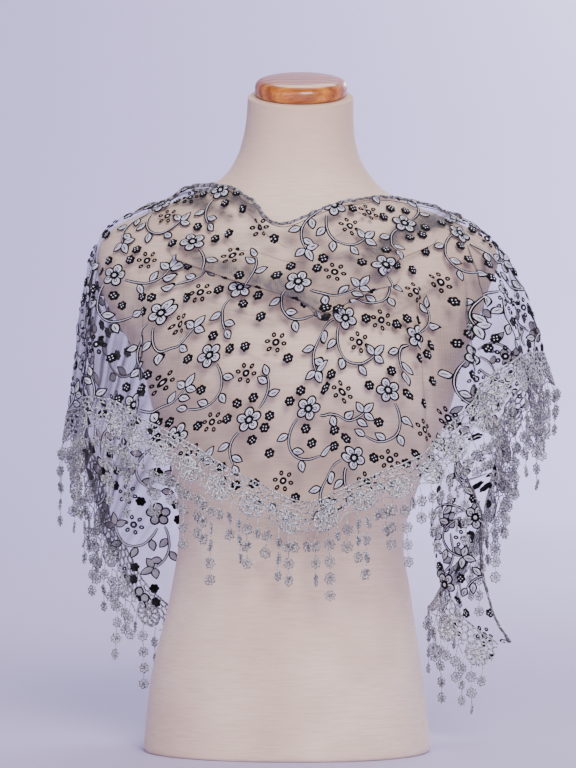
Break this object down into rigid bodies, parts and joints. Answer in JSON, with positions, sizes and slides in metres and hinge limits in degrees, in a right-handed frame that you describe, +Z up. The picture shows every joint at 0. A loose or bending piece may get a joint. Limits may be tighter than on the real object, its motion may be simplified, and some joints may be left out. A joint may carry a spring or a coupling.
{
  "type": "lace shawl on a dress form",
  "caption": "Sheer triangular shawl of embroidered net with a scalloped guipure band and rosette fringe, draped in a cowl over the shoulders of an armless dress form.",
  "frame": {"origin": "on the flat underside of the dress form, below the middle of its neck and waist", "axes": "+Z up, -Y towards the front of the form, +X to the viewer's right seen from the front"},
  "size_m": [0.4932, 0.2899, 0.6793],
  "materials": {
    "beige_jersey": "matte knitted cover with fine level slubs",
    "varnished_wood": "clear gloss varnish over honey wood",
    "embroidered_net": "sheer matte net with satin-stitch flowers",
    "rolled_edge": "matte rolled and overlocked hem",
    "guipure_lace": "chemical lace with a glitter thread",
    "rosette_fringe": "chemical lace with a glitter thread"
  },
  "bodies": {
    "root": {"form_torso": "beige_jersey", "neck_cap": "varnished_wood", "net_left_wing": "embroidered_net", "net_left_side": "embroidered_net", "net_front": "embroidered_net", "net_right_side": "embroidered_net", "net_right_wing": "embroidered_net", "rolled_edge_left_wing": "rolled_edge", "rolled_edge_left_side": "rolled_edge", "rolled_edge_front": "rolled_edge", "rolled_edge_right_side": "rolled_edge", "rolled_edge_right_wing": "rolled_edge", "lace_band_left_wing": "guipure_lace", "lace_band_left_side": "guipure_lace", "lace_band_front": "guipure_lace", "lace_band_right_side": "guipure_lace", "lace_band_right_wing": "guipure_lace", "fringe_left_wing": "rosette_fringe", "fringe_left_side": "rosette_fringe", "fringe_front": "rosette_fringe", "fringe_right_side": "rosette_fringe", "fringe_right_wing": "rosette_fringe"}
  },
  "joints": []
}
